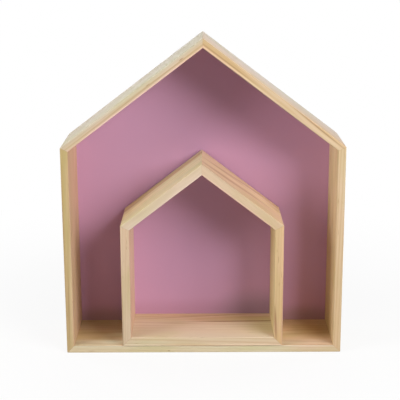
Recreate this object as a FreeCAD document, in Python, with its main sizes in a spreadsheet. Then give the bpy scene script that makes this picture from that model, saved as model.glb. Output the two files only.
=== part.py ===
# A nesting pair of house-shaped wall shelves. Each house is a frame of five mitred pine boards with a
# thin painted panel let into a rabbet at the back, and the small house stands loose in the large one.
# Millimetres, +Z up. The open fronts face -Y, and the origin is the middle of the large underside.
import FreeCAD, Part
import math
import os
from types import SimpleNamespace

import Sketcher

# Driving dimensions
SIZES = {
    # Outside of the large house: eave is the height of the walls, depth runs from front to back
    "large_width": 350.0,
    "large_height": 400.0,
    "large_eave": 267.3,
    "large_depth": 95.0,
    "large_board": 9.5,
    # Outside of the small house
    "small_width": 204.0,
    "small_height": 237.3,
    "small_eave": 158.7,
    "small_depth": 91.0,
    "small_board": 11.0,
    # Where the small house stands: off the middle, and clear of the large panel
    "nest_shift": -1.6,
    "nest_gap": 0.3,
    # Back panels and the rabbets that take them
    "panel_thickness": 3.0,
    "panel_clearance": 0.2,
    "rabbet_width": 5.0,
    # Sanded edges: the long arrises, and the outside corners over the mitres
    "arris_radius": 0.7,
    "corner_radius": 1.2,
    # Headless brads across the mitres
    "brad_diameter": 1.2,
    "brad_length": 12.0,
    # Pins that hold the back panels
    "pin_diameter": 1.2,
    "pin_length": 14.0,
    "pin_head_diameter": 2.8,
    "pin_head_thickness": 0.5,
    # Saw-tooth hangers, cranked so that a wall nail's head passes behind the teeth
    "hanger_length": 46.0,
    "hanger_height": 8.0,
    "hanger_thickness": 0.8,
    "hanger_rise": 1.2,
    "hanger_foot": 9.0,
    "hanger_ramp": 2.0,
    "hanger_end_radius": 2.0,
    "tooth_pitch": 2.4,
    "tooth_depth": 1.6,
    "tooth_count": 9,
    # Nails that hold the hangers
    "nail_diameter": 1.6,
    "nail_length": 15.0,
    "nail_head_diameter": 3.6,
    "nail_head_thickness": 0.7,
    # Room all round a driven fastener in its hole, and how far a cut runs past a face
    "bore_clearance": 0.05,
    "cut_overrun": 2.0,
}

# The corners of a house, clockwise from the front, and the boards that run between them
LEFT_FOOT, LEFT_EAVE, RIDGE, RIGHT_EAVE, RIGHT_FOOT = range(5)
BOARDS = {
    "left_wall": (LEFT_FOOT, LEFT_EAVE),
    "left_roof": (LEFT_EAVE, RIDGE),
    "right_roof": (RIDGE, RIGHT_EAVE),
    "right_wall": (RIGHT_EAVE, RIGHT_FOOT),
    "floor_board": (RIGHT_FOOT, LEFT_FOOT),
}

# Brads: shares of the depth from the front, and of the board's thickness from the corner
BRAD_DEPTH_SHARES = (0.12, 0.45, 0.78)
FOOT_BRAD_SHARE = 0.5
EAVE_BRAD_SHARE = 0.2
RIDGE_BRAD_SHARE = 0.4

# Panel pins: shares of each board's length
PIN_SHARES = {
    "left_wall": (0.1, 0.5, 0.9),
    "left_roof": (0.3, 0.7),
    "right_roof": (0.3, 0.7),
    "right_wall": (0.1, 0.5, 0.9),
    "floor_board": (0.2, 0.5, 0.8),
}

# A tooth gap takes this much of its pitch, and the rest is the flat tip of a tooth
TOOTH_GAP_SHARE = 0.8

# Two places count as one where they differ by less than this share of a board's thickness
SAME_PLACE_SHARE = 0.001

X_AXIS = FreeCAD.Vector(1, 0, 0)
Y_AXIS = FreeCAD.Vector(0, 1, 0)
Z_AXIS = FreeCAD.Vector(0, 0, 1)
QUARTER_TURN = 90

document = FreeCAD.newDocument("house_shelves")
sheet = document.addObject("Spreadsheet::Sheet", "Sizes")
for row, (alias, size) in enumerate(SIZES.items(), start=1):
    sheet.set(f"A{row}", alias.replace("_", " "))
    sheet.set(f"B{row}", str(size))
    sheet.setAlias(f"B{row}", alias)
document.recompute()

pieces = []


def measure(expression):
    """What an expression on the sheet comes to, as a plain number."""
    result = sheet.evalExpression(expression)
    return float(getattr(result, "Value", result))


def house_of(name, place):
    """The expressions that describe one house, and the place of its front, middle and underside."""
    house = SimpleNamespace(name=name, place=place)
    for size in ("width", "height", "eave", "depth", "board"):
        setattr(house, size, f"Sizes.{name}_{size}")
    house.pitch = f"atan(2 * ({house.height} - {house.eave}) / {house.width})"
    house.panel_face = f"({house.depth} - Sizes.panel_thickness)"
    house.pin_inset = f"({house.board} - Sizes.rabbet_width / 2)"
    return house


def outline(house, inset):
    """The five corners of a house, each set in from the outside faces by the same distance."""
    side = f"({house.width} / 2 - {inset})"
    eave = f"({house.eave} - {inset} * (1 - sin({house.pitch})) / cos({house.pitch}))"
    ridge = f"({house.height} - {inset} / cos({house.pitch}))"
    return [(f"-{side}", inset), (f"-{side}", eave), ("0", ridge), (side, eave), (side, inset)]


def flat(corner):
    """A corner as a point of its sketch."""
    return FreeCAD.Vector(measure(corner[0]), measure(corner[1]), 0)


def bind_place(piece, place):
    """Tie a piece's place to three expressions."""
    for letter, distance in zip("xyz", place):
        piece.setExpression(f"Placement.Base.{letter}", distance)


def keep(piece, label, place):
    """Name a finished piece, put it in its place and list it."""
    piece.Label = label
    bind_place(piece, place)
    pieces.append(piece)
    return piece


# Sketches and the features made from them

def sketch_on(body, name, role, offset="0"):
    """A sketch on one of the body's own planes, moved along that plane's normal."""
    sketch = body.newObject("Sketcher::SketchObject", name)
    plane = next(item for item in body.Origin.OriginFeatures if item.Role == role)
    sketch.AttachmentSupport = (plane, [""])
    sketch.MapMode = "FlatFace"
    sketch.setExpression("AttachmentOffset.Base.z", offset)
    return sketch


def hold(sketch, geometry, point, corner):
    """Hold one point of a sketch at two expressions, measured from the sketch's origin."""
    for kind, distance in zip(("DistanceX", "DistanceY"), corner):
        constraint = Sketcher.Constraint(kind, -1, 1, geometry, point, measure(distance))
        index = sketch.addConstraint(constraint)
        sketch.setExpression(f"Constraints[{index}]", distance)


def hold_radius(sketch, geometry, radius):
    """Hold an arc's or a circle's radius at an expression."""
    index = sketch.addConstraint(Sketcher.Constraint("Radius", geometry, measure(radius)))
    sketch.setExpression(f"Constraints[{index}]", radius)


def draw_polygon(sketch, corners):
    """A closed outline of straight lines with every corner held."""
    first = sketch.GeometryCount
    count = len(corners)
    for index in range(count):
        start, end = flat(corners[index]), flat(corners[(index + 1) % count])
        sketch.addGeometry(Part.LineSegment(start, end))
    for index, corner in enumerate(corners):
        before = first + (index - 1) % count
        sketch.addConstraint(Sketcher.Constraint("Coincident", before, 2, first + index, 1))
        hold(sketch, first + index, 1, corner)


def draw_circle(sketch, centre, radius):
    """A circle whose centre and radius are held."""
    geometry = sketch.addGeometry(Part.Circle(flat(centre), Z_AXIS, measure(radius)))
    hold(sketch, geometry, 3, centre)
    hold_radius(sketch, geometry, radius)


def pad(body, sketch, length, towards_back=True):
    """Thicken a sketch, from the front plane towards the back or straight up."""
    feature = body.newObject("PartDesign::Pad", f"{sketch.Name}_pad")
    feature.Profile = sketch
    feature.setExpression("Length", length)
    feature.Reversed = towards_back
    document.recompute()
    return feature


def pocket_to_back(body, sketch):
    """Cut a sketch through everything that lies behind it, and make sure that it took something."""
    before = body.Shape.Volume
    feature = body.newObject("PartDesign::Pocket", f"{sketch.Name}_pocket")
    feature.Profile = sketch
    feature.Type = "ThroughAll"
    document.recompute()
    if not body.Shape.Volume < before:
        raise RuntimeError(f"{feature.Name} took nothing away")
    return feature


def round_edges(body, feature, edges, radius):
    """Round the listed edges of a body's last feature."""
    fillet = body.newObject("PartDesign::Fillet", f"{feature.Name}_round")
    fillet.Base = (feature, edges)
    fillet.setExpression("Radius", radius)
    document.recompute()
    return fillet


# Boards

def draw_board(sketch, house, start, end):
    """A board's front: its outside face, a mitre at each end, and tips rounded like its neighbours'."""
    radius = "Sizes.corner_radius"
    reach = measure(radius)
    corner = [flat(place) for place in outline(house, "0")]
    centres = outline(house, radius)
    inner = outline(house, house.board)
    along = (corner[end] - corner[start]).normalize()
    outward = Z_AXIS.cross(along)
    heading = math.atan2(outward.y, outward.x)

    def tip(index):
        """The circle that rounds a tip, where it meets the face and the mitre, and the angle between."""
        centre = flat(centres[index])
        to_corner = (corner[index] - centre).normalize()
        circle = Part.Circle(centre, Z_AXIS, reach)
        return circle, centre + outward * reach, centre + to_corner * reach, outward.getAngle(to_corner)

    start_circle, start_face, start_mitre, start_sweep = tip(start)
    end_circle, end_face, end_mitre, end_sweep = tip(end)
    face = sketch.addGeometry(Part.LineSegment(start_face, end_face))
    end_arc = sketch.addGeometry(Part.ArcOfCircle(end_circle, heading - end_sweep, heading))
    end_line = sketch.addGeometry(Part.LineSegment(end_mitre, flat(inner[end])))
    inside = sketch.addGeometry(Part.LineSegment(flat(inner[end]), flat(inner[start])))
    start_line = sketch.addGeometry(Part.LineSegment(flat(inner[start]), start_mitre))
    start_arc = sketch.addGeometry(Part.ArcOfCircle(start_circle, heading, heading + start_sweep))

    sketch.addConstraint(Sketcher.Constraint("Tangent", face, 2, end_arc, 2))
    sketch.addConstraint(Sketcher.Constraint("Tangent", face, 1, start_arc, 1))
    sketch.addConstraint(Sketcher.Constraint("Perpendicular", end_arc, 1, end_line, 1))
    sketch.addConstraint(Sketcher.Constraint("Perpendicular", start_arc, 2, start_line, 2))
    sketch.addConstraint(Sketcher.Constraint("Coincident", end_line, 2, inside, 1))
    sketch.addConstraint(Sketcher.Constraint("Coincident", inside, 2, start_line, 1))
    hold(sketch, end_arc, 3, centres[end])
    hold(sketch, start_arc, 3, centres[start])
    hold(sketch, inside, 1, inner[end])
    hold(sketch, inside, 2, inner[start])
    hold_radius(sketch, end_arc, radius)
    hold_radius(sketch, start_arc, radius)


def arris_names(shape, house, start, end):
    """The long edges that are sanded: both at the front, and the outside one at the back."""
    corner = [flat(place) for place in outline(house, "0")]
    along = (corner[end] - corner[start]).normalize()
    across = Z_AXIS.cross(along)
    near = measure(house.board) * SAME_PLACE_SHARE
    depth = measure(house.depth)
    names = []
    for number, edge in enumerate(shape.Edges, start=1):
        ends = [vertex.Point for vertex in edge.Vertexes]
        at_front = all(abs(point.y) < near for point in ends)
        at_back = all(abs(point.y - depth) < near for point in ends)
        places = [FreeCAD.Vector(point.x, point.z, 0) - corner[start] for point in ends]
        heights = [place.dot(across) for place in places]
        level = abs(heights[0] - heights[-1]) < near
        outside = all(abs(height) < near for height in heights)
        rounded = isinstance(edge.Curve, Part.Circle)
        if (at_front and (level or rounded)) or (at_back and (outside or rounded)):
            names.append(f"Edge{number}")
    return names


def make_board(house, label, start, end):
    """One mitred board with its rabbet and its sanded edges, before any fastener is driven."""
    name = f"{house.name}_{label}"
    body = document.addObject("PartDesign::Body", f"{name}_blank")
    front = sketch_on(body, f"{name}_front", "XZ_Plane")
    draw_board(front, house, start, end)
    pad(body, front, house.depth)
    rabbet = sketch_on(body, f"{name}_rabbet", "XZ_Plane", f"-{house.panel_face}")
    draw_polygon(rabbet, outline(house, f"({house.board} - Sizes.rabbet_width)"))
    cut = pocket_to_back(body, rabbet)
    round_edges(body, cut, arris_names(cut.Shape, house, start, end), "Sizes.arris_radius")
    return body


def make_panel(house):
    """The thin panel that drops into the rabbets, flush with the back of the boards."""
    name = f"{house.name}_back_panel"
    body = document.addObject("PartDesign::Body", f"{name}_blank")
    sketch = sketch_on(body, f"{name}_outline", "XZ_Plane", f"-{house.panel_face}")
    lip = f"({house.board} - Sizes.rabbet_width + Sizes.panel_clearance)"
    draw_polygon(sketch, outline(house, lip))
    pad(body, sketch, "Sizes.panel_thickness")
    return body


# Fasteners and their holes

def rod(name, diameter, length, place, axis, turn):
    """A round rod that starts at a place and runs along +Z turned about an axis."""
    cylinder = document.addObject("Part::Cylinder", name)
    cylinder.setExpression("Radius", f"({diameter}) / 2")
    cylinder.setExpression("Height", length)
    cylinder.Placement = FreeCAD.Placement(FreeCAD.Vector(), FreeCAD.Rotation(axis, QUARTER_TURN))
    bind_place(cylinder, place)
    cylinder.setExpression("Placement.Rotation.Angle", turn)
    return cylinder


def bore_size(diameter):
    """The diameter of the hole that a fastener leaves."""
    return f"{diameter} + 2 * Sizes.bore_clearance"


def brad_lines(house):
    """Where brads go in: for each corner a starting point, the way in, and that way's turn about Y."""
    run, rise = f"cos({house.pitch})", f"sin({house.pitch})"
    side = f"{house.width} / 2"
    foot = f"{house.board} * {FOOT_BRAD_SHARE}"
    eave = f"{house.board} * {EAVE_BRAD_SHARE}"
    ridge = f"{house.board} * {RIDGE_BRAD_SHARE}"
    eave_level = f"{house.eave} + {eave} * {rise}"
    ridge_level = f"{house.height} - {ridge} * {rise}"
    into_left_roof = (rise, f"-{run}"), f"180 deg - {house.pitch}"
    into_right_roof = (f"-{rise}", f"-{run}"), f"180 deg + {house.pitch}"
    return {
        "left_foot": ((f"-{side}", foot), ("1", "0"), "90 deg"),
        "right_foot": ((side, foot), ("-1", "0"), "270 deg"),
        "left_eave": ((f"-{side} + {eave} * {run}", eave_level), *into_left_roof),
        "right_eave": ((f"{side} - {eave} * {run}", eave_level), *into_right_roof),
        "ridge": ((f"-{ridge} * {run}", ridge_level), *into_left_roof),
    }


def make_brads(house):
    """Three brads across each mitre, flush with the face that they enter, and their holes."""
    diameter, hole = "Sizes.brad_diameter", "Sizes.brad_length + Sizes.cut_overrun"
    brads, bores = [], []
    for corner, ((x, z), (way_x, way_z), turn) in brad_lines(house).items():
        for number, share in enumerate(BRAD_DEPTH_SHARES, start=1):
            name = f"{house.name}_{corner}_brad_{number}"
            y = f"{house.depth} * {share}"
            outside = (f"{x} - Sizes.cut_overrun * ({way_x})", y, f"{z} - Sizes.cut_overrun * ({way_z})")
            brads.append(rod(name, diameter, "Sizes.brad_length", (x, y, z), Y_AXIS, turn))
            bores.append(rod(f"{name}_bore", bore_size(diameter), hole, outside, Y_AXIS, turn))
    return brads, bores


def make_nail(name, kind, x, seat, z):
    """A headed nail driven from the back: its head lies on the seat, and its shank runs forward."""
    length, thickness = f"Sizes.{kind}_length", f"Sizes.{kind}_head_thickness"
    diameter, head_diameter = f"Sizes.{kind}_diameter", f"Sizes.{kind}_head_diameter"
    turn = f"{QUARTER_TURN} deg"
    top = (x, f"{seat} + {thickness}", z)
    nail = document.addObject("Part::Fuse", name)
    nail.Base = rod(f"{name}_shank", diameter, length, (x, seat, z), X_AXIS, turn)
    nail.Tool = rod(f"{name}_head", head_diameter, thickness, top, X_AXIS, turn)
    hole = f"{length} + Sizes.cut_overrun"
    outside = (x, f"{seat} + Sizes.cut_overrun", z)
    return nail, rod(f"{name}_bore", bore_size(diameter), hole, outside, X_AXIS, turn)


def make_panel_pins(house):
    """Pins along the middle of the rabbets, through the panel and into the boards."""
    corners = outline(house, house.pin_inset)
    pins, bores = [], []
    for label, (start, end) in BOARDS.items():
        for number, share in enumerate(PIN_SHARES[label], start=1):
            x, z = (f"{a} + ({b} - {a}) * {share}" for a, b in zip(corners[start], corners[end]))
            pin, bore = make_nail(f"{house.name}_{label}_pin_{number}", "pin", x, house.depth, z)
            pins.append(pin)
            bores.append(bore)
    return pins, bores


def hanger_nail_place(house, side):
    """Where a hanger's nail goes in: the middle of the foot, on the line of the panel pins."""
    reach = "(Sizes.hanger_length / 2 - Sizes.hanger_foot / 2)"
    level = f"({house.height} - {house.pin_inset} / cos({house.pitch}) - {reach} * tan({house.pitch}))"
    return f"{side} * {reach}", level


def make_hanger_nails(house):
    """One nail through each foot of the hanger, the panel's edge and a roof board."""
    seat = f"{house.depth} + Sizes.hanger_thickness"
    nails, bores = [], []
    for label, side in (("left", -1), ("right", 1)):
        x, z = hanger_nail_place(house, side)
        nail, bore = make_nail(f"{house.name}_{label}_nail", "nail", x, seat, z)
        nails.append(nail)
        bores.append(bore)
    return nails, bores


# Hanger

def make_hanger(house):
    """A cranked strip across the ridge, with a row of teeth along the raised part's lower edge."""
    name = f"{house.name}_hanger"
    body = document.addObject("PartDesign::Body", name)
    section = sketch_on(body, f"{name}_section", "XY_Plane")
    end, foot = "Sizes.hanger_length / 2", "(Sizes.hanger_length / 2 - Sizes.hanger_foot)"
    raised = f"({foot} - Sizes.hanger_ramp)"
    stations = ((end, "0"), (foot, "0"), (raised, "Sizes.hanger_rise"))
    inner = [(f"-{x}", y) for x, y in stations] + [(x, y) for x, y in reversed(stations)]
    outer = [(x, f"{y} + Sizes.hanger_thickness") for x, y in reversed(inner)]
    draw_polygon(section, inner + outer)
    strip = pad(body, section, "Sizes.hanger_height", towards_back=False)

    half_length = measure(end)
    near = half_length * SAME_PLACE_SHARE
    ends = []
    for number, edge in enumerate(strip.Shape.Edges, start=1):
        first, last = (vertex.Point for vertex in edge.Vertexes)
        at_end = all(abs(abs(point.x) - half_length) < near for point in (first, last))
        if at_end and abs(first.z - last.z) < near:
            ends.append(f"Edge{number}")
    round_edges(body, strip, ends, "Sizes.hanger_end_radius")

    holes = sketch_on(body, f"{name}_holes", "XZ_Plane")
    for side in (-1, 1):
        x, _ = hanger_nail_place(house, side)
        draw_circle(holes, (x, "Sizes.hanger_height / 2"), f"({bore_size('Sizes.nail_diameter')}) / 2")
    pocket_to_back(body, holes)

    gap = sketch_on(body, f"{name}_gap", "XZ_Plane")
    row = "(Sizes.tooth_pitch * (Sizes.tooth_count - 1))"
    middle, half = f"-{row} / 2", f"Sizes.tooth_pitch * {TOOTH_GAP_SHARE} / 2"
    left, right = f"{middle} - {half}", f"{middle} + {half}"
    below = "-Sizes.cut_overrun"
    root = (middle, "Sizes.tooth_depth")
    draw_polygon(gap, [(left, below), (left, "0"), root, (right, "0"), (right, below)])
    first_gap = pocket_to_back(body, gap)
    teeth = body.newObject("PartDesign::LinearPattern", f"{name}_teeth")
    teeth.Originals = [first_gap]
    teeth.Direction = (gap, ["H_Axis"])
    teeth.setExpression("Length", row)
    teeth.setExpression("Occurrences", "Sizes.tooth_count")
    body.Tip = teeth
    document.recompute()
    return body


# Houses

def group(name, members):
    """Several fasteners of one kind, kept together as separate solids."""
    compound = document.addObject("Part::Compound", name)
    compound.Links = members
    return compound


def drill(body, holes, name):
    """A board or panel with its fasteners' holes cut out."""
    cut = document.addObject("Part::Cut", name)
    cut.Base = body
    cut.Tool = holes
    return cut


def make_house(house):
    """Every piece of one house, in its place."""
    brads, brad_bores = make_brads(house)
    pins, pin_bores = make_panel_pins(house)
    nails, nail_bores = make_hanger_nails(house)
    holes = group(f"{house.name}_bores", brad_bores + pin_bores + nail_bores)
    blanks = {label: make_board(house, label, start, end) for label, (start, end) in BOARDS.items()}
    blanks["back_panel"] = make_panel(house)
    for label, blank in blanks.items():
        name = f"{house.name}_{label}"
        keep(drill(blank, holes, f"{name}_drilled"), name, house.place)
    for label, members in (("corner_brads", brads), ("panel_pins", pins), ("hanger_nails", nails)):
        name = f"{house.name}_{label}"
        keep(group(f"{name}_group", members), name, house.place)
    x, y, z = house.place
    _, nail_level = hanger_nail_place(house, 1)
    seat = (x, f"{y} + {house.depth}", f"{z} + {nail_level} - Sizes.hanger_height / 2")
    keep(make_hanger(house), f"{house.name}_hanger", seat)


large = house_of("large", ("0", "-Sizes.large_depth / 2", "0"))
standoff = "(Sizes.nest_gap + Sizes.hanger_rise + Sizes.hanger_thickness)"
large_panel_front = "(Sizes.large_depth / 2 - Sizes.panel_thickness)"
small_front = f"{large_panel_front} - {standoff} - Sizes.small_depth"
small = house_of("small", ("Sizes.nest_shift", small_front, "Sizes.large_board"))
make_house(large)
make_house(small)
document.recompute()

# Every object has to be sound before anything is written
for item in document.Objects:
    if "Invalid" in item.State or "Error" in item.State:
        raise RuntimeError(f"{item.Label} could not be made: {item.State}")
for piece in pieces:
    if piece.Shape.isNull() or not piece.Shape.isValid():
        raise RuntimeError(f"{piece.Label} has no sound shape")

os.makedirs("parts", exist_ok=True)
for piece in pieces:
    piece.Shape.exportStep(f"parts/{piece.Label}.step")
    print(f"{piece.Label}: {len(piece.Shape.Solids)} solids, {piece.Shape.Volume:.0f} mm3")
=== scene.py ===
# %% [markdown]
# # A nesting pair of house shelves
# The object is two wall shelves for a child's room, each with the outline of a little house. Five pine
# boards are mitred into a frame, a thin pink panel closes the back, and the small house stands loose
# inside the large one. Every shape comes from the CAD model, so this lesson is about the finishes: pine
# whose grain runs along each board, rolled paint, raw fibreboard and zinc-plated steel.

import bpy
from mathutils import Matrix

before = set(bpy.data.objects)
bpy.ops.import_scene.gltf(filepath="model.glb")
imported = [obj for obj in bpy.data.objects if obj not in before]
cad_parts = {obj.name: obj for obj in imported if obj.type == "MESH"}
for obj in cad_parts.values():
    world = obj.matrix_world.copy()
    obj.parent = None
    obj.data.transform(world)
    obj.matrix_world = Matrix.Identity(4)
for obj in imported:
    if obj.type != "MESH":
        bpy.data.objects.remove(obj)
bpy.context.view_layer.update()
print("nodes:", sorted(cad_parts))

# %% [markdown]
# ## The camera
# The picture is taken from in front and a little above, through a long lens, so the walls stay almost
# upright. A Track To constraint would aim the camera too, but it hides the angles. Three plain turns,
# one after the other, keep the pan, the tilt and the slight roll as numbers that can be read.

# %% Place the camera
import math

import bpy
from mathutils import Quaternion, Vector

CAMERA_PLACE = (-0.0025, -1.3081, 0.5226)
PAN, TILT, ROLL = -0.0012, 0.2494, 0.004  # radians to the right, down and clockwise
LENS, SENSOR = 94.8, 36.0  # millimetres

scene = bpy.context.scene
camera = bpy.data.objects.new("camera", bpy.data.cameras.new("camera"))
camera.data.lens, camera.data.sensor_width = LENS, SENSOR
camera.location = CAMERA_PLACE
camera.rotation_mode = "QUATERNION"
turns = ((0, 0, 1), -PAN), ((1, 0, 0), math.pi / 2 - TILT), ((0, 0, 1), -ROLL)
for axis, angle in turns:
    camera.rotation_quaternion = camera.rotation_quaternion @ Quaternion(axis, angle)
scene.collection.objects.link(camera)
scene.camera = camera
scene.view_settings.view_transform = "Standard"
print("camera looks along", camera.rotation_quaternion @ Vector((0, 0, -1)))

# %% [markdown]
# ## Shader sums in plain Python
# A finish is a small network of nodes. It could be wired by hand in the editor, or with a line of code
# for every link, but neither reads like the idea behind it. This class wraps one output socket, so that
# a sum such as 1 - mask adds the Math node by itself, and node() adds any other kind of node.


# %% A socket that does sums
class Wire:
    """An output socket of a node tree. Sums on it add Math nodes, and node() adds any other node."""

    def __init__(self, tree, socket=None):
        self.tree, self.socket = tree, socket

    def node(self, kind, settings=None, inputs=None):
        """Adds a node of that kind: its settings first, then the values or links of its sockets."""
        made = self.tree.nodes.new(kind)
        for name, value in (settings or {}).items():
            if name == "stops":
                elements = made.color_ramp.elements
                elements.remove(elements[1])
                for place, level in value:
                    stop = elements.new(place)
                    stop.color = (level, level, level, 1)
                elements.remove(elements[0])
            else:
                setattr(made, name, value)
        for name, value in (inputs or {}).items():
            if isinstance(value, Wire):
                self.tree.links.new(value.socket, made.inputs[name])
            else:
                made.inputs[name].default_value = value
        return Wire(self.tree, made.outputs[0] if made.outputs else None)

    def out(self, name):
        """Another output of the same node."""
        return Wire(self.tree, self.socket.node.outputs[name])

    def sum(self, operation, *values):
        """A Math node with that operation on the values."""
        return self.node("ShaderNodeMath", {"operation": operation}, dict(enumerate(values)))

    def __add__(self, other):
        return self.sum("ADD", self, other)

    def __sub__(self, other):
        return self.sum("SUBTRACT", self, other)

    def __rsub__(self, other):
        return self.sum("SUBTRACT", other, self)

    def __mul__(self, other):
        return self.sum("MULTIPLY", self, other)

    def __truediv__(self, other):
        return self.sum("DIVIDE", self, other)

    def __pow__(self, other):
        return self.sum("POWER", self, other)

    def __mod__(self, other):
        return self.sum("FLOORED_MODULO", self, other)

    def __abs__(self):
        return self.sum("ABSOLUTE", self)

    __radd__, __rmul__ = __add__, __mul__


print("sums:", [name for name in vars(Wire) if name.startswith("__")])

# %% [markdown]
# ## Small tools for every finish
# The same few things come back in each finish: a soft step between two values, a blend of two colours,
# the distance along a direction, the length of a vector, and noise that is stretched one way. Each is one
# node or two, so a short function gives it a name. Colours always go through Mix, because a Math node
# would turn them grey.


# %% Step, blend, distance and noise
def step(value, low, high):
    """0 below low, 1 above high, and a smooth rise between them."""
    settings = {"interpolation_type": "SMOOTHSTEP"}
    return value.node("ShaderNodeMapRange", settings, {"Value": value, "From Min": low, "From Max": high})


def blend(share, first, second, way="MIX"):
    """A colour between two colours, or one worked on by the other."""
    settings = {"data_type": "RGBA", "blend_type": way}
    return share.node("ShaderNodeMix", settings, {0: share, 6: first, 7: second}).out(2)


def along_line(vector, direction):
    """How far a vector reaches in a direction."""
    settings = {"operation": "DOT_PRODUCT"}
    return vector.node("ShaderNodeVectorMath", settings, {0: vector, 1: direction}).out("Value")


def length(vector):
    """How long a vector is."""
    return vector.node("ShaderNodeVectorMath", {"operation": "LENGTH"}, {0: vector}).out("Value")


def noise(vector, scale, detail, shift=0.0):
    """Noise from 0 to 1, with its own scale along each axis, in bumps per metre."""
    inputs = {"Vector": vector, "Scale": scale, "Location": (shift, shift, shift)}
    laid = vector.node("ShaderNodeMapping", inputs=inputs)
    return vector.node("ShaderNodeTexNoise", inputs={"Vector": laid, "Scale": 1.0, "Detail": detail})


TO_BACK = (0.0, 1.0, 0.0)  # the way from the open front to the panel
print("tools:", [tool.__name__ for tool in (step, blend, along_line, length, noise)])

# %% [markdown]
# ## From a colour to a dressed piece
# Colours are usually read in steps of 0 to 255, and shaders work with linear light, so one function goes
# from the first to the second. The others begin a material with an empty tree, roughen it with a bump,
# close it with one Principled shader, and put it on a CAD node. All of this could be done by hand in the
# editor for one piece, but there are twenty.


# %% Colours and materials
def colour(red, green, blue):
    """A colour read in the usual 0 to 255 steps, as the linear values that shaders use."""
    shares = (red / 255, green / 255, blue / 255)
    linear = [s / 12.92 if s <= 0.04045 else ((s + 0.055) / 1.055) ** 2.4 for s in shares]
    return (*linear, 1.0)


def blank(name):
    """A new material with an empty tree, and a wire to start from."""
    material = bpy.data.materials.new(name)
    material.use_nodes = True
    material.node_tree.nodes.clear()
    return material, Wire(material.node_tree)


def bumped(height, strength, distance):
    """Normals that follow a height of 0 to 1, which stands for a distance in metres."""
    inputs = {"Height": height, "Strength": strength, "Distance": distance}
    return height.node("ShaderNodeBump", inputs=inputs)


def close_material(start, inputs):
    """Ends a material with one Principled shader."""
    shader = start.node("ShaderNodeBsdfPrincipled", inputs=inputs)
    start.node("ShaderNodeOutputMaterial", inputs={"Surface": shader})


def dress(name, material):
    """Gives a CAD node one material, and hands the node back."""
    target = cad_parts[name]
    target.data.materials.clear()
    target.data.materials.append(material)
    return target


print("a middling pine is", [round(v, 3) for v in colour(216, 191, 152)])

# %% [markdown]
# ## Floor and background
# The shelves stand on a pale studio floor that fades into white. A curved backdrop would do it too, but a
# flat disc is simpler: near the object a small share of it is lit and keeps a faint shadow, and further
# out it is plain white. A floor as bright as that would throw too much light up at the boards, so the
# rays that carry light meet a dull grey one. The Light Path node tells the two kinds of ray apart.


# %% The rays that should see white
def seen(start):
    """1 for rays from the camera and for mirror or clear rays, and 0 for rays that carry light."""
    path = start.node("ShaderNodeLightPath")
    direct = path.out("Is Camera Ray") + path.out("Is Glossy Ray") + path.out("Is Transmission Ray")
    return direct.sum("MINIMUM", direct, 1.0)


WHITE = (1.0, 1.0, 1.0, 1.0)
STUDIO_GREY = (0.97, 0.98, 1.0, 1.0)
STUDIO_STRENGTH = 0.02

world = bpy.data.worlds.new("studio")
world.use_nodes = True
world.node_tree.nodes.clear()
start = Wire(world.node_tree)
dim = start.node("ShaderNodeBackground", inputs={"Color": STUDIO_GREY, "Strength": STUDIO_STRENGTH})
white = start.node("ShaderNodeBackground", inputs={"Color": WHITE, "Strength": 1.0})
sky = start.node("ShaderNodeMixShader", inputs={0: seen(start), 1: dim, 2: white})
start.node("ShaderNodeOutputWorld", inputs={"Surface": sky})
scene.world = world
print("studio light", STUDIO_STRENGTH)

# %% The floor
import bmesh

FLOOR_RADIUS, FLOOR_SIDES = 12.0, 64
FADE_FROM, FADE_TO = 0.10, 0.75  # metres from the object's middle
SHADOW_SHARE = 0.15
LIT_GREY = (0.86, 0.86, 0.86, 1.0)
DULL_GREY = (0.36, 0.36, 0.36, 1.0)

shape = bmesh.new()
bmesh.ops.create_circle(shape, cap_ends=True, segments=FLOOR_SIDES, radius=FLOOR_RADIUS)
floor = bpy.data.objects.new("floor", bpy.data.meshes.new("floor"))
shape.to_mesh(floor.data)
shape.free()
scene.collection.objects.link(floor)

floor_paint, start = blank("floor_paint")
distance = length(start.node("ShaderNodeTexCoord").out("Object"))
whiteness = 1 - (1 - step(distance, FADE_FROM, FADE_TO)) * SHADOW_SHARE
lit = start.node("ShaderNodeBsdfDiffuse", inputs={"Color": LIT_GREY})
dull = start.node("ShaderNodeBsdfDiffuse", inputs={"Color": DULL_GREY})
plain = start.node("ShaderNodeEmission", inputs={"Color": WHITE, "Strength": 1.0})
shown = start.node("ShaderNodeMixShader", inputs={0: whiteness, 1: lit, 2: plain})
surface = start.node("ShaderNodeMixShader", inputs={0: seen(start), 1: dull, 2: shown})
start.node("ShaderNodeOutputMaterial", inputs={"Surface": surface})
floor.data.materials.append(floor_paint)
print("floor of", len(floor.data.polygons), "face")

# %% [markdown]
# ## Studio light
# A wide soft lamp stands to the right in front, a little above the roofs. It throws the soft shadows of
# the right roof and the right wall on to the pink panel, and the small house's shadow to its left. A
# second lamp, far to the left, lights the faces that the first one misses, and a weak high one softens
# both. Behind stand three lamps that brighten the tops of the roofs, and a low wide one for the back. A
# sun would throw shadows too, but with edges that are far too hard.

# %% Lamps
AIM = Vector((0.0, 0.0, 0.17))
LAMP_DISTANCE, LAMP_HEIGHT = 1.6, 0.6
LAMPS = {  # degrees to the right of the front, degrees up, width in metres, watts
    "key_lamp": (43, 26, 1.0, 23.6),
    "side_lamp": (-63, 23, 0.9, 17.2),
    "high_lamp": (-20, 55, 0.6, 1.6),
    "back_left_lamp": (-120, 40, 0.6, 4.4),
    "back_lamp": (180, 25, 0.6, 1.5),
    "low_back_lamp": (180, 6, 1.0, 5.6),
    "back_right_lamp": (120, 40, 0.6, 3.6),
}


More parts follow.
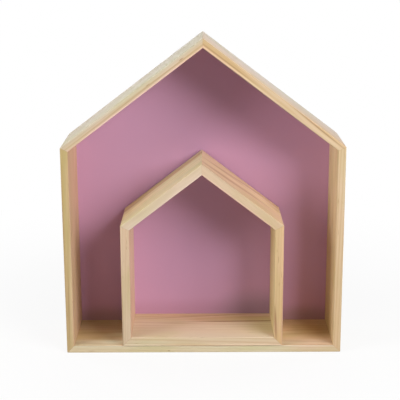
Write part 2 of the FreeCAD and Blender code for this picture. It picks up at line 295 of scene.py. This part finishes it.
def lamp(name, right, up, width, power):
    """A lamp that looks at the middle of the object from a direction."""
    made = bpy.data.objects.new(name, bpy.data.lights.new(name, "AREA"))
    made.data.shape, made.data.size, made.data.size_y = "RECTANGLE", width, LAMP_HEIGHT
    made.data.energy = power
    right, up = math.radians(right), math.radians(up)
    way = Vector((math.sin(right) * math.cos(up), -math.cos(right) * math.cos(up), math.sin(up)))
    made.location = AIM + way * LAMP_DISTANCE
    made.rotation_mode = "QUATERNION"
    made.rotation_quaternion = way.to_track_quat("Z", "Y")
    scene.collection.objects.link(made)
    print(name, [round(v, 2) for v in made.location], power, "W")


for name, settings in LAMPS.items():
    lamp(name, *settings)

# %% [markdown]
# ## How each board lies
# Grain has to run along a board, also along a sloping roof, so each board needs axes of its own: along
# its length, across it from front to back, and through it to the outside. Seen from the front, along goes
# round the frame like the hand of a clock: left on the floor, up the left wall, over the roof and down
# the right wall. The angles could be copied from the drawing, but the mesh knows them already. The
# broadest face that looks outwards gives the way through, and the two ends give the planes of the mitres.

# %% Measure the boards
from types import SimpleNamespace

HOUSES = ("large", "small")
BOARD_NAMES = ("floor_board", "left_wall", "left_roof", "right_roof", "right_wall")
LEVEL = 0.01  # a face whose normal leans less than this to the front or back
ENDWISE = 0.3  # a face that looks at least this much along the board


def measure_board(name):
    """A board's axes, its middle and size along them, and its two mitre planes."""
    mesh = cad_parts[name].data
    areas, points = {}, {}
    for face in mesh.polygons:
        if abs(face.normal.y) < LEVEL:
            key = tuple(round(v, 3) for v in face.normal)
            areas[key] = areas.get(key, 0.0) + face.area
            points[key] = mesh.vertices[face.vertices[0]].co
    through = Vector(max(areas, key=areas.get)).normalized()
    along = Vector((through.z, 0.0, -through.x))
    mitres = []
    for side in (1, -1):
        ends = [key for key in areas if side * along.dot(Vector(key)) > ENDWISE]
        best = max(ends, key=areas.get)
        facing = Vector(best).normalized()
        mitres.append((facing, points[best].dot(facing)))
    axes = (along, Vector(TO_BACK), through)
    spans = [[v.co.dot(axis) for v in mesh.vertices] for axis in axes]
    middle = Vector([(min(s) + max(s)) / 2 for s in spans])
    size = [max(s) - min(s) for s in spans]
    turn = math.atan2(along.z, along.x)
    return SimpleNamespace(name=name, through=through, mitres=mitres, middle=middle, size=size, turn=turn)


boards = [measure_board(f"{house}_{board}") for house in HOUSES for board in BOARD_NAMES]
for board in boards:
    print(board.name, "turned", round(math.degrees(board.turn), 2), [round(1000 * s, 1) for s in board.size])

# %% [markdown]
# ## Growth rings
# Pine shows its rings as lines along the board and as long arches on the faces. A wave texture gives
# stripes, but they stop at every edge. A sawn board is a slice of a trunk, so this finish keeps the trunk:
# the distance from its pith, divided by the width of a ring, makes rings that meet round every edge. A
# trunk tapers, so the rings slowly run out of the face. Each ring is pale at first, darkens slowly and
# ends sharply.

# %% Rings of a trunk
RING_STOPS = ((0.0, 0.40), (0.14, 0.0), (0.50, 0.10), (0.82, 0.70), (0.92, 1.0), (1.0, 0.40))
SWAY_SCALE = (2.4, 9.0, 9.0)  # bumps per metre along, across and through
UNEVEN_SCALE, UNEVEN_SHARE = (0.8, 60.0, 60.0), 0.9  # how much one ring differs in width from the next
# each pattern of a board is shifted by its own amount, so that no two lie in step
SHIFTS = SimpleNamespace(uneven=3.0, fibres=7.0, dashes=11.0, patches=13.0, rosy=17.0, olive=19.0)


def lay_board(start, board):
    """Places in the frame, and the same places in a board's own axes, in metres from its middle."""
    place = start.node("ShaderNodeTexCoord").out("Object")
    turned = {"Vector": place, "Rotation": (0.0, board.turn, 0.0), "Location": -board.middle}
    return place, start.node("ShaderNodeMapping", inputs=turned)


def growth_rings(laid, wood, seed):
    """How dark the late wood is at each place, from 0 to 1."""
    axes = laid.node("ShaderNodeSeparateXYZ", inputs={0: laid})
    sway = noise(laid, SWAY_SCALE, detail=2.0, shift=seed) - 0.5
    across = axes.out("Y") - wood.pith[0] + axes.out("X") * wood.lean + sway * wood.sway
    through = axes.out("Z") - wood.pith[1]
    radius = (across * across + through * through) ** 0.5
    uneven = noise(laid, UNEVEN_SCALE, detail=1.0, shift=seed + SHIFTS.uneven) - 0.5
    ring = ((radius + axes.out("X") * wood.taper) / wood.ring + uneven * UNEVEN_SHARE) % 1.0
    return laid.node("ShaderNodeValToRGB", {"stops": RING_STOPS}, {0: ring})


print("a ring is darkest at", max(RING_STOPS, key=lambda stop: stop[1])[0])

# %% [markdown]
# ## Fibres and resin lines
# Between the rings raw pine is never even. Very fine fibres run along it, and here and there a resin
# canal shows as a thin dark dash. Both are noise that is drawn out along the board, the fibres finer than
# the dashes, and a second, slow noise gathers the dashes in patches. Painted streaks would need an image,
# and noise needs none.

# %% Fibres and dashes
FIBRE_SCALE = (35.0, 1300.0, 1300.0)
DASH_SCALE, DASH_FADE = (55.0, 800.0, 800.0), 0.06
PATCH_SCALE, PATCH_SHARE = (6.0, 40.0, 40.0), 0.35


def fibres(laid, seed):
    """Fine streaks along the board, from 0 to 1."""
    return noise(laid, FIBRE_SCALE, detail=3.0, shift=seed + SHIFTS.fibres)


def resin_dashes(laid, wood, seed):
    """1 on the thin dark dashes of the resin canals."""
    streaks = noise(laid, DASH_SCALE, detail=1.0, shift=seed + SHIFTS.dashes)
    patches = noise(laid, PATCH_SCALE, detail=1.0, shift=seed + SHIFTS.patches)
    return step(streaks + patches * PATCH_SHARE, wood.dashes, wood.dashes + DASH_FADE)


print("millimetres from fibre to fibre:", round(1000 / FIBRE_SCALE[1], 2))
print("millimetres from dash to dash:", round(1000 / DASH_SCALE[1], 2))

# %% [markdown]
# ## Arrises and mitres
# The long edges of the boards are sanded, which leaves them a touch paler, and that paler tone is also a
# painted highlight along the edges. At each corner a thin line shows where two boards are glued. A Bevel
# node could find the edges, but the mesh already has the rounded arris, and only there does a normal look
# both to the front and through the board. A mitre line is the places close to the plane of the end face.

# %% Edges of a board
ARRIS_FROM, ARRIS_TO = 0.08, 0.45  # how much the normal looks both ways
MITRE_LINE = 0.00045  # metres


def sanded_arris_and_highlight(normal, board):
    """1 on the middle of a rounded long edge, and 0 on the flat faces."""
    lean = along_line(normal, TO_BACK) * along_line(normal, tuple(board.through))
    return step(abs(lean), ARRIS_FROM, ARRIS_TO)


def mitre_lines(place, board):
    """1 at the glue lines, fading within half a millimetre."""
    gaps = [abs(along_line(place, tuple(facing)) - reach) for facing, reach in board.mitres]
    near = gaps[0].sum("MINIMUM", *gaps)
    return 1 - step(near, 0.0, MITRE_LINE)


print("mitre lines:", sum(len(board.mitres) for board in boards), "ends of boards")

# %% [markdown]
# ## Knots, streaks, patches and painted light
# Some marks belong to one board only: a pin knot, a brown streak, a patch of yellower or paler wood.
# Others are painted light and shade: a pale rim that is a painted highlight along an edge, and places
# made darker by painted shade or paler by painted light. They could be painted on, but a mark in real
# wood goes some way into it. So each is a long round body at one place in the board, given in the board's
# own axes, and shows on every face that cuts through it. It multiplies the tone under it, by less than 1
# to darken and by more to make it paler.

# %% Marks at a place
# the pale rim is a painted highlight along an edge; brown is a streak in the wood
BROWN, RIM_HIGHLIGHT = colour(170, 120, 84), (1.26, 1.13, 1.34, 1.0)
CORE = 0.2  # the share of a mark's reach where it is at its strongest


def shade(red, green, blue):
    """What a tone is multiplied by where a mark is at its strongest."""
    return (red, green, blue, 1.0)


def mark(place, reach, strength, tone=BROWN, tip=0.0, turn=0.0):
    """A mark: its place from the middle and its reach, both along, across and through in millimetres.

    Tip and turn are radians: tip leans it through the board, and turn swings it across the face.
    """
    place, reach = Vector(place) / 1000, Vector(reach) / 1000
    return SimpleNamespace(place=place, reach=reach, strength=strength, tone=tone, turns=(0.0, tip, turn))


def marked(laid, spot):
    """1 in the middle of a mark, fading to 0 where its reach ends."""
    inputs = {"Vector": laid, "Location": spot.place, "Rotation": spot.turns, "Scale": spot.reach}
    scaled = laid.node("ShaderNodeMapping", {"vector_type": "TEXTURE"}, inputs)
    return 1 - step(length(scaled), CORE, 1.0)


def put_marks(tint, laid, marks):
    """A colour with each mark laid over it in turn."""
    for spot in marks:
        tint = blend(marked(laid, spot) * spot.strength, tint, spot.tone, "MULTIPLY")
    return tint


print("a brown streak multiplies a tone by", [round(v, 2) for v in BROWN])

# %% [markdown]
# ## The pine finish
# The boards are raw pine, sanded and left without varnish. Every board has its own pale tone, because
# boards of one shelf come from many trees, and one for its edges beside the one for its faces. Rings,
# fibres and marks then multiply that tone, which keeps their colour in step with the board. Rings and
# fibres also give the bump, and the rings the gloss, because late wood is harder and polishes a little
# more. An image of pine would be quicker, but it would repeat from board to board.

# %% Pine from its parts
LATE, FIBRE = colour(214, 182, 150), colour(236, 232, 226)
ROSY, ROSY_SCALE, ROSY_RANGE = colour(255, 246, 240), (3.0, 16.0, 60.0), (0.3, 0.7)
OLIVE, OLIVE_SCALE, OLIVE_RANGE = colour(246, 250, 236), (14.0, 30.0, 60.0), (0.4, 0.7)
GLUE, ARRIS_PALE_AND_HIGHLIGHT = colour(190, 156, 124), colour(240, 222, 192)
DASH_SHARE, ARRIS_SHARE, GLUE_SHARE = 0.5, 0.05, 0.28
EDGE_FROM, EDGE_TO = 0.5, 0.9  # how squarely a face looks to the front or back
PINE_ROUGHNESS, LATE_POLISH = 0.62, 0.08
BUMP_STRENGTH, BUMP_HEIGHT = 0.25, 0.0002  # the height in metres


def pine(board, wood, seed):
    """Raw pine for one board."""
    material, start = blank("pine_" + board.name)
    place, laid = lay_board(start, board)
    normal = start.node("ShaderNodeTexCoord").out("Normal")
    rings = growth_rings(laid, wood, seed)
    threads = fibres(laid, seed)
    rosy = noise(laid, ROSY_SCALE, detail=2.0, shift=seed + SHIFTS.rosy)
    olive = noise(laid, OLIVE_SCALE, detail=2.0, shift=seed + SHIFTS.olive)
    edge = step(abs(along_line(normal, TO_BACK)), EDGE_FROM, EDGE_TO)
    contrast = edge * wood.edge_contrast + (1 - edge) * wood.face_contrast
    tint = blend(edge, wood.face, wood.edge)
    tint = blend(step(rosy, *ROSY_RANGE), tint, ROSY, "MULTIPLY")
    tint = blend(step(olive, *OLIVE_RANGE), tint, OLIVE, "MULTIPLY")
    tint = blend(rings * contrast, tint, LATE, "MULTIPLY")
    tint = blend(threads, tint, FIBRE, "MULTIPLY")
    tint = blend(resin_dashes(laid, wood, seed) * DASH_SHARE, tint, BROWN, "MULTIPLY")
    tint = put_marks(tint, laid, wood.marks)
    # paler sanded edges, which also paint a highlight along them
    tint = blend(sanded_arris_and_highlight(normal, board) * ARRIS_SHARE, tint, ARRIS_PALE_AND_HIGHLIGHT)
    tint = blend(mitre_lines(place, board) * GLUE_SHARE, tint, GLUE, "MULTIPLY")
    roughness = PINE_ROUGHNESS - rings * LATE_POLISH
    bump = bumped(rings * 0.5 + threads * 0.5, BUMP_STRENGTH, BUMP_HEIGHT)
    close_material(start, {"Base Color": tint, "Roughness": roughness, "Normal": bump})
    return material


print("late wood multiplies a tone by", [round(v, 2) for v in LATE])

# %% [markdown]
# ## One cut of wood for each board
# A sawmill cuts a trunk into boards that differ in where the pith lies, how wide the rings are and how
# far the grain leans. These facts could be drawn at random, but a shelf is looked at from close by, so
# the cuts and their marks are given board by board. What most boards share is given here once.

# %% The facts of a cut
PLAIN_CONTRAST = (0.22, 0.4)  # how much the rings show on the edges and on the faces
TAPER, SWAY, DASHES = 0.02, 6.0, 0.92  # share, millimetres, and the noise level where a dash begins
CUTS = {}


def cut(edge, face, pith, ring, contrast=PLAIN_CONTRAST, lean=0.0, marks=()):
    """A board's tones, where the pith lies across and through from its middle, and a ring's width, in mm."""
    edge_contrast, face_contrast = contrast
    return SimpleNamespace(
        edge=colour(*edge),
        face=colour(*face),
        edge_contrast=edge_contrast,
        face_contrast=face_contrast,
        pith=Vector((*pith, 0)) / 1000,
        ring=ring / 1000,
        taper=TAPER,
        lean=lean,
        sway=SWAY / 1000,
        dashes=DASHES,
        marks=marks,
    )


print("rings sway by", SWAY, "mm and taper by", TAPER)

# %% [markdown]
# ## The large floor and walls
# These boards are seen mostly on their front edges, 9.5 mm thick, and the floor on its top as well. The
# edges have a pin knot and a few brown streaks. Their rims are paler or darker than the rest: a pale inner
# rim is a painted highlight, and the floor's upper rim has painted shade with painted light in its
# middle. The floor's top is patchy, with a browner end by the right wall that is painted shade, and pale
# places beside the small house that are painted light.

# %% Large floor and walls
CUTS["large_floor_board"] = cut(
    edge=(225, 214, 182), face=(218, 194, 152), pith=(-20, -70), ring=3.4,
    marks=(
        # the front edge: a knot, a streak and a warm right end; the upper rim has painted shade over the lit
        # arris, and painted light in the middle, where the small house shades it
        mark((44.5, -47.5, 2.5), (2.0, 1.5, 1.1), 0.6),
        mark((144.0, -47.5, 2.6), (7.0, 2.0, 0.9), 0.3),
        mark((-150.0, -47.5, 0.0), (75.0, 40.0, 20.0), 1.0, shade(1.0, 0.86, 0.86)),
        mark((0.0, -47.5, -4.75), (600.0, 1.6, 1.6), 1.0, shade(0.86, 0.86, 0.84)),
        mark((0.0, -47.5, -4.75), (150.0, 2.0, 1.8), 0.9, shade(1.6, 1.26, 1.34)),
        # the top: a cool strip along the front, then the right and left bays, front before back
        mark((0.0, -38.0, -4.75), (600.0, 16.0, 3.0), 1.0, shade(0.98, 1.14, 1.3)),
        mark((-130.0, -28.0, -4.75), (60.0, 50.0, 4.0), 1.0, shade(1.18, 1.15, 1.24)),
        mark((-130.0, 30.0, -4.75), (60.0, 40.0, 4.0), 1.0, shade(1.08, 1.0, 1.0)),
        mark((130.0, -28.0, -4.75), (60.0, 40.0, 4.0), 1.0, shade(1.06, 1.05, 1.1)),
        mark((130.0, 30.0, -4.75), (60.0, 40.0, 4.0), 1.0, shade(0.91, 0.93, 0.97)),
        # the top again: a browner right end that is painted shade by the right wall, and paler places close
        # to the small house that are painted light where its shadow falls
        mark((-148.0, 2.0, -4.75), (45.0, 40.0, 4.0), 1.0, shade(0.86, 0.82, 0.66)),
        mark((-103.0, 10.0, -4.75), (24.0, 28.0, 4.0), 1.0, shade(1.2, 1.16, 1.28)),
        mark((116.0, -18.0, -4.75), (24.0, 40.0, 4.0), 1.0, shade(1.04, 1.15, 1.24)),
    ),
)
CUTS["large_left_wall"] = cut(
    edge=(204, 184, 139), face=(219, 189, 161), pith=(30, -60), ring=3.6,
    marks=(
        # the front edge: a brown outer rim, a paler inner half, a streak near the foot, and a painted
        # highlight along the inner rim near the foot
        mark((0.0, -47.5, 4.75), (180.0, 3.0, 3.0), 0.27),
        mark((60.0, -47.5, -4.0), (110.0, 4.0, 4.5), 1.0, shade(1.1, 1.02, 1.1)),
        mark((-75.0, -47.5, 0.6), (75.0, 3.0, 1.2), 0.3, tip=0.012),
        mark((-80.0, -47.5, -3.5), (95.0, 4.0, 3.0), 0.5, RIM_HIGHLIGHT),
        # a yellow streak high up, and a darker upper end
        mark((70.0, -47.5, 2.0), (50.0, 3.0, 2.0), 0.7, shade(1.0, 1.04, 0.9)),
        mark((85.0, -47.5, 0.0), (80.0, 6.0, 12.0), 1.0, shade(0.93, 0.95, 0.88)),
    ),
)
CUTS["large_right_wall"] = cut(
    edge=(217, 195, 160), face=(226, 210, 170), pith=(-10, -80), ring=3.4,
    contrast=(0.36, 0.4),
    marks=(
        # the front edge is paler at both ends
        mark((-95.0, -47.5, 0.0), (80.0, 6.0, 12.0), 1.0, shade(1.05, 1.06, 1.16)),
        mark((100.0, -47.5, -1.0), (70.0, 6.0, 8.0), 1.0, shade(1.07, 1.04, 1.04)),
    ),
)
print({name: len(wood.marks) for name, wood in CUTS.items()}, "marks")

# %% [markdown]
# ## The large roof
# The roof boards show their front edges and, from a little above, a strip of their tops. The tops are
# yellower along the front and cooler behind, where the cool tone is a painted reflection, and the left one
# has pin knots in its edge. Each edge has a pale inner rim that is a painted highlight. The right edge has
# a brown streak near the ridge, and a dark inner rim that is painted shade.

# %% Large roof boards
CUTS["large_left_roof"] = cut(
    edge=(209, 193, 162), face=(210, 201, 179), pith=(-35, -55), ring=3.2,
    marks=(
        # a paler underside, and a top with a cool back that is a painted reflection, yellow in front and
        # darker near the ridge
        mark((0.0, 20.0, -4.75), (600.0, 75.0, 6.0), 1.0, shade(1.24, 1.16, 1.14)),
        mark((0.0, 47.5, 4.75), (500.0, 100.0, 12.0), 1.0, shade(0.94, 0.99, 1.08)),
        mark((0.0, -40.0, 7.0), (400.0, 45.0, 4.5), 1.0, shade(0.95, 0.98, 0.88)),
        mark((120.0, 20.0, 6.0), (200.0, 140.0, 5.0), 1.0, shade(0.92, 0.93, 0.92)),
        # the front edge: its inner rim, a painted highlight, then its outer rim and middle, then paler and
        # yellower lengths
        mark((0.0, -47.5, -4.75), (500.0, 3.0, 2.8), 1.0, shade(1.34, 1.1, 1.36)),
        mark((0.0, -47.5, 4.75), (400.0, 4.0, 5.0), 1.0, shade(1.0, 1.07, 1.22)),
        mark((0.0, -47.5, -1.0), (400.0, 3.0, 3.0), 0.8, shade(1.05, 0.97, 0.95)),
        mark((0.0, -47.5, 0.0), (110.0, 6.0, 12.0), 1.0, shade(1.06, 1.06, 1.13)),
        mark((95.0, -47.5, -3.0), (50.0, 6.0, 5.0), 1.0, shade(0.97, 0.94, 0.82)),
        # a long streak and two pin knots
        mark((15.0, -47.5, -1.0), (160.0, 3.0, 1.5), 0.32),
        mark((74.0, -47.5, 0.5), (5.0, 2.0, 0.8), 0.75),
        mark((23.0, -47.5, 0.4), (4.0, 2.0, 0.7), 0.4),
    ),
)
CUTS["large_right_roof"] = cut(
    edge=(214, 190, 152), face=(208, 184, 159), pith=(25, -60), ring=3.8,
    marks=(
        # a paler underside, and a top with a cool back that is a painted reflection, yellow in front and
        # paler near the eave
        mark((0.0, 20.0, -4.75), (600.0, 75.0, 6.0), 1.0, shade(1.2, 1.2, 1.2)),
        mark((0.0, 47.5, 4.75), (500.0, 100.0, 12.0), 1.0, shade(0.93, 1.05, 1.22)),
        mark((0.0, -44.0, 7.0), (400.0, 45.0, 4.5), 1.0, shade(1.0, 0.94, 0.78)),
        mark((100.0, 0.0, 7.0), (110.0, 140.0, 5.0), 1.0, shade(1.12, 1.06, 1.1)),
        # the front edge near the ridge: a pale rim that is a painted highlight, a brown streak above it, and
        # the dark inner rim, which is painted shade
        mark((-80.0, -47.5, -3.0), (130.0, 3.0, 1.8), 0.9, shade(1.26, 1.2, 1.36)),
        mark((-75.0, -47.5, -0.6), (80.0, 3.0, 1.4), 0.4),
        mark((-30.0, -47.5, -5.0), (170.0, 3.0, 2.0), 1.0, shade(0.7, 0.68, 0.7)),
        mark((-80.0, -47.5, -5.0), (90.0, 3.0, 1.6), 0.7, shade(0.74, 0.72, 0.74)),
        # the front edge is paler half way, yellower near the ridge and pale near the eave, with a streak
        mark((10.0, -47.5, 3.0), (90.0, 4.0, 4.0), 1.0, shade(1.03, 1.05, 1.18)),
        mark((-75.0, -47.5, 0.5), (75.0, 3.0, 4.0), 0.9, shade(0.93, 0.87, 0.7)),
        mark((75.0, -47.5, -1.5), (60.0, 3.0, 3.4), 0.9, shade(1.09, 1.12, 1.24)),
        mark((69.0, -47.5, 2.6), (60.0, 3.0, 1.3), 0.5, tip=0.031),
    ),
)
print({name: len(wood.marks) for name, wood in CUTS.items() if "roof" in name}, "marks")

# %% [markdown]
# ## The small floor and walls
# The small house is made of thicker boards, 11 mm, and its floor is the board that is seen best. It is
# redder towards the panel, and two dark lines of grain run across its back half. Its right part is
# yellower and darker with painted shade, and its front edge has a pale lower rim of painted light. The
# front edge of each wall has a darker outer rim near the foot, which is painted shade.

# %% Small floor and walls
CUTS["small_floor_board"] = cut(
    edge=(226, 204, 173), face=(232, 216, 190), pith=(20, -45), ring=3.6,
    contrast=(0.36, 0.4),
    marks=(
        # the front edge: a pale lower rim that is painted light where the large floor shades it, and a
        # cooler left end
        mark((0.0, -45.5, 5.5), (400.0, 3.0, 3.4), 1.0, shade(1.22, 1.22, 1.3)),
        mark((70.0, -45.5, 2.0), (50.0, 4.0, 5.0), 1.0, shade(1.03, 1.1, 1.18)),
        # the top: two dark lines of grain and a redder back, then a yellower, darker right part that is
        # painted shade
        mark((14.0, 31.0, -5.5), (140.0, 2.8, 3.0), 0.3, turn=-0.12),
        mark((-55.0, 13.5, -5.5), (120.0, 3.0, 3.0), 0.75, turn=-0.031),
        mark((0.0, 42.0, -5.5), (160.0, 45.0, 6.0), 1.0, shade(0.98, 0.89, 0.82)),
        mark((-62.0, 24.0, -5.5), (80.0, 14.0, 5.0), 0.8, shade(0.92, 0.92, 0.74)),
        mark((-90.0, -5.0, -5.5), (50.0, 45.0, 5.0), 1.0, shade(0.9, 1.0, 0.8)),
    ),
)
CUTS["small_left_wall"] = cut(
    edge=(221, 199, 171), face=(229, 198, 174), pith=(-25, -60), ring=3.2,
    marks=(
        # a yellower outside, and the dark outer rim of the front edge, which is painted shade
        mark((0.0, 20.0, 5.5), (400.0, 75.0, 6.0), 1.0, shade(0.93, 1.14, 1.0)),
        mark((-60.0, -45.5, 5.5), (80.0, 3.0, 2.6), 1.0, shade(0.74, 0.7, 0.66)),
    ),
)
CUTS["small_right_wall"] = cut(
    edge=(222, 191, 151), face=(222, 202, 152), pith=(-30, -50), ring=3.6,
    marks=(
        # a paler outside, and the dark outer rim of the front edge, which is painted shade
        mark((0.0, 10.0, 5.5), (400.0, 200.0, 6.0), 1.0, shade(1.1, 1.08, 1.12)),
        mark((50.0, -45.5, 5.5), (80.0, 3.0, 2.6), 1.0, shade(0.88, 0.8, 0.92)),
        # the front edge: a streak, a yellower foot, a faint knot and a yellow streak
        mark((50.0, -45.5, -3.4), (36.0, 3.0, 2.4), 0.6, tip=-0.05),
        mark((74.0, -45.5, 0.0), (26.0, 6.0, 12.0), 1.0, shade(0.97, 0.96, 0.84)),
        mark((-3.0, -45.5, 0.5), (4.0, 2.0, 1.4), 0.2),
        mark((40.0, -45.5, 3.0), (40.0, 3.0, 3.0), 0.6, shade(1.0, 0.97, 0.9)),
    ),
)
print({name: len(wood.marks) for name, wood in CUTS.items() if "small" in name}, "marks")

# %% [markdown]
# ## The small roof
# The tops of the small roof lie in plain view, so their grain matters most. The left one has an orange
# band along its back, and painted light makes its middle and its eave end paler. The right one is cut
# closer to the pith than the other boards and its grain leans, so brown arches cross it. Its eave end is
# pale.

# %% Small roof boards
CUTS["small_left_roof"] = cut(
    edge=(222, 206, 185), face=(240, 237, 201), pith=(15, -70), ring=3.6,
    contrast=(0.1, 0.4),
    marks=(
        # the top: a paler middle that is painted light, the orange band with its streak, a paler place at
        # the eave that is painted light, and a place at the ridge
        mark((0.0, 5.0, 5.5), (140.0, 30.0, 6.0), 1.0, shade(1.15, 1.15, 1.15)),
        mark((10.0, 30.0, 5.5), (200.0, 20.0, 4.0), 0.6, shade(0.96, 0.8, 0.5), turn=-0.06),
        mark((10.0, 25.0, 5.5), (140.0, 5.0, 3.0), 0.3, turn=0.03),
        mark((-60.0, 8.0, 5.5), (60.0, 40.0, 6.0), 1.0, shade(1.16, 1.16, 1.12)),
        mark((45.0, -28.0, 5.5), (70.0, 10.0, 4.0), 1.0, shade(0.93, 0.98, 0.97)),
        # the front edge: a pale inner rim, which is a painted highlight
        mark((0.0, -45.5, -5.5), (150.0, 3.0, 3.0), 0.4, RIM_HIGHLIGHT),
    ),
)
CUTS["small_right_roof"] = cut(
    edge=(219, 193, 163), face=(236, 208, 175), pith=(5, -38), ring=3.0,
    contrast=(0.06, 0.4), lean=-0.2,
    marks=(
        # the top: four brown arches
        mark((-4.0, -11.0, 5.5), (80.0, 5.5, 4.0), 0.42, turn=0.2),
        mark((-2.0, 24.0, 5.5), (80.0, 6.0, 4.0), 0.36, turn=0.33),
        mark((-36.0, -22.0, 5.5), (60.0, 4.5, 4.0), 0.4, turn=0.15),
        mark((-32.0, 9.0, 5.5), (50.0, 4.5, 4.0), 0.3, turn=0.2),
        # the top: pale places near the eave, and a darker front near the ridge
        mark((52.0, 15.0, 5.5), (60.0, 25.0, 5.0), 1.0, shade(1.18, 1.26, 1.24)),
        mark((46.0, 42.0, 5.5), (60.0, 12.0, 4.0), 1.0, shade(1.12, 1.16, 1.0)),
        mark((-40.0, -44.0, 5.5), (70.0, 10.0, 3.0), 1.0, shade(0.88, 0.87, 0.86)),
        # the front edge: a pale inner rim, which is a painted highlight
        mark((0.0, -45.5, -5.5), (150.0, 3.0, 3.0), 0.6, RIM_HIGHLIGHT),
    ),
)
print(len(CUTS), "cuts for", len(boards), "boards")

# %% [markdown]
# ## Dressing the boards
# Each board gets a material of its own. One material for all ten would be smaller, but then two boards
# could never have different rings. The seed moves the noise, so that no two boards repeat.

# %% Pine on the boards
SEED_GAP = 5.0

for number, board in enumerate(boards):
    target = dress(board.name, pine(board, CUTS[board.name], SEED_GAP * number))
print("pine on", len(boards), "boards")

# %% [markdown]
# ## The painted panels
# Each back is a sheet of thin fibreboard, rolled with a dull pink paint on the front and left bare
# behind. Two pieces could carry the two finishes, but it is one sheet, so one material looks at which way
# a face points: the front takes paint with a roller's fine stipple, and the rest shows brown fibres. The
# paint is darker at its foot and in the small house's right corner: that is painted shade, where the
# shelf's own shadow falls. It is a set of marks as on the boards, with their places measured from the
# origin of the whole object.

# %% Tones of the panels
PINK, PINK_DEEP = colour(203, 153, 186), colour(199, 149, 182)
BOARD_PALE, BOARD_DARK = colour(166, 128, 92), colour(134, 98, 67)
# painted shade: this tone darkens the panel paint where the shelf's shadow falls
PAINTED_SHADE_TONE = shade(0.74, 0.8, 0.62)
PAINTED_FOOT_SHADE = {
    "large": (
        mark((-135.0, 44.5, 9.5), (75.0, 20.0, 27.0), 1.0, PAINTED_SHADE_TONE),
        mark((133.0, 44.5, 9.5), (75.0, 20.0, 27.0), 1.0, PAINTED_SHADE_TONE),
    ),
    "small": (
        # painted shade along the small panel's foot, deeper in its right corner under the right wall's
        # shadow
        mark((0.0, 39.2, 20.0), (300.0, 20.0, 27.0), 1.0, shade(0.88, 0.85, 0.83)),
        mark((75.0, 39.2, 20.0), (80.0, 20.0, 45.0), 1.0, shade(0.68, 0.78, 0.72)),
    ),
}
print("grubby places:", {house: len(marks) for house, marks in PAINTED_FOOT_SHADE.items()})

# %% Paint and fibreboard
CLOUD_SCALE, CLOUD_SHARE = (14.0, 14.0, 14.0), 0.6
STIPPLE_SCALE, STIPPLE_SHARE = (700.0, 700.0, 700.0), 0.4
HAIR_SCALE, HAIR_RANGE = (420.0, 420.0, 1500.0), (0.3, 0.7)
PAINT_FROM, PAINT_TO = 0.4, 0.6  # how squarely a face looks forward
BARE_ROUGHNESS, PAINT_POLISH = 0.8, 0.18


def painted_panel(name, foot_shade):
    """Dull rolled paint on the front with painted shade at its foot, and bare fibreboard elsewhere."""
    material, start = blank(name)
    coordinates = start.node("ShaderNodeTexCoord")
    place = coordinates.out("Object")
    painted = step(0 - along_line(coordinates.out("Normal"), TO_BACK), PAINT_FROM, PAINT_TO)
    cloud = noise(place, CLOUD_SCALE, detail=3.0)
    stipple = noise(place, STIPPLE_SCALE, detail=2.0)
    hair = noise(place, HAIR_SCALE, detail=4.0)
    paint = blend(cloud * CLOUD_SHARE + stipple * STIPPLE_SHARE, PINK_DEEP, PINK)
    # painted shade on the paint at the panel's foot
    paint = put_marks(paint, place, foot_shade)
    bare = blend(step(hair, *HAIR_RANGE), BOARD_DARK, BOARD_PALE)
    tint = blend(painted, bare, paint)
    roughness = BARE_ROUGHNESS - painted * PAINT_POLISH
    bump = bumped(painted * stipple + (1 - painted) * hair, BUMP_STRENGTH, BUMP_HEIGHT)
    close_material(start, {"Base Color": tint, "Roughness": roughness, "Normal": bump})
    return material


for house in HOUSES:
    target = dress(f"{house}_back_panel", painted_panel(f"painted_fibreboard_{house}", PAINTED_FOOT_SHADE[house]))
print("paint on", len(HOUSES), "panels")

# %% [markdown]
# ## Zinc-plated steel
# The hangers, nails, pins and brads are cheap plated steel: dull, a little blue, and clouded. A plain
# metal would look like chrome, so soft patches change its tone and gloss, and fine scratches break the
# reflections.

# %% Plated steel
STEEL_NAMES = ("corner_brads", "panel_pins", "hanger", "hanger_nails")
ZINC_DARK, ZINC_PALE = colour(138, 142, 146), colour(168, 170, 171)
ZINC_SCALE, SCRATCH_SCALE = (420.0, 420.0, 420.0), (300.0, 2500.0, 4000.0)
ZINC_ROUGHNESS, ZINC_CLOUDING = 0.42, 0.24
SCRATCH_STRENGTH, SCRATCH_HEIGHT = 0.15, 0.00005  # the height in metres


def plated_steel(name):
    """Dull zinc with cloudy patches and fine scratches."""
    material, start = blank(name)
    place = start.node("ShaderNodeTexCoord").out("Object")
    cloud = noise(place, ZINC_SCALE, detail=3.0)
    scratch = noise(place, SCRATCH_SCALE, detail=2.0)
    tint = blend(cloud, ZINC_DARK, ZINC_PALE)
    roughness = ZINC_ROUGHNESS + cloud * ZINC_CLOUDING
    bump = bumped(scratch, SCRATCH_STRENGTH, SCRATCH_HEIGHT)
    close_material(start, {"Base Color": tint, "Metallic": 1.0, "Roughness": roughness, "Normal": bump})
    return material


steel_finish = plated_steel("zinc_plated_steel")
for house in HOUSES:
    for name in STEEL_NAMES:
        target = dress(f"{house}_{name}", steel_finish)
print("steel on", len(HOUSES) * len(STEEL_NAMES), "nodes")

# %% [markdown]
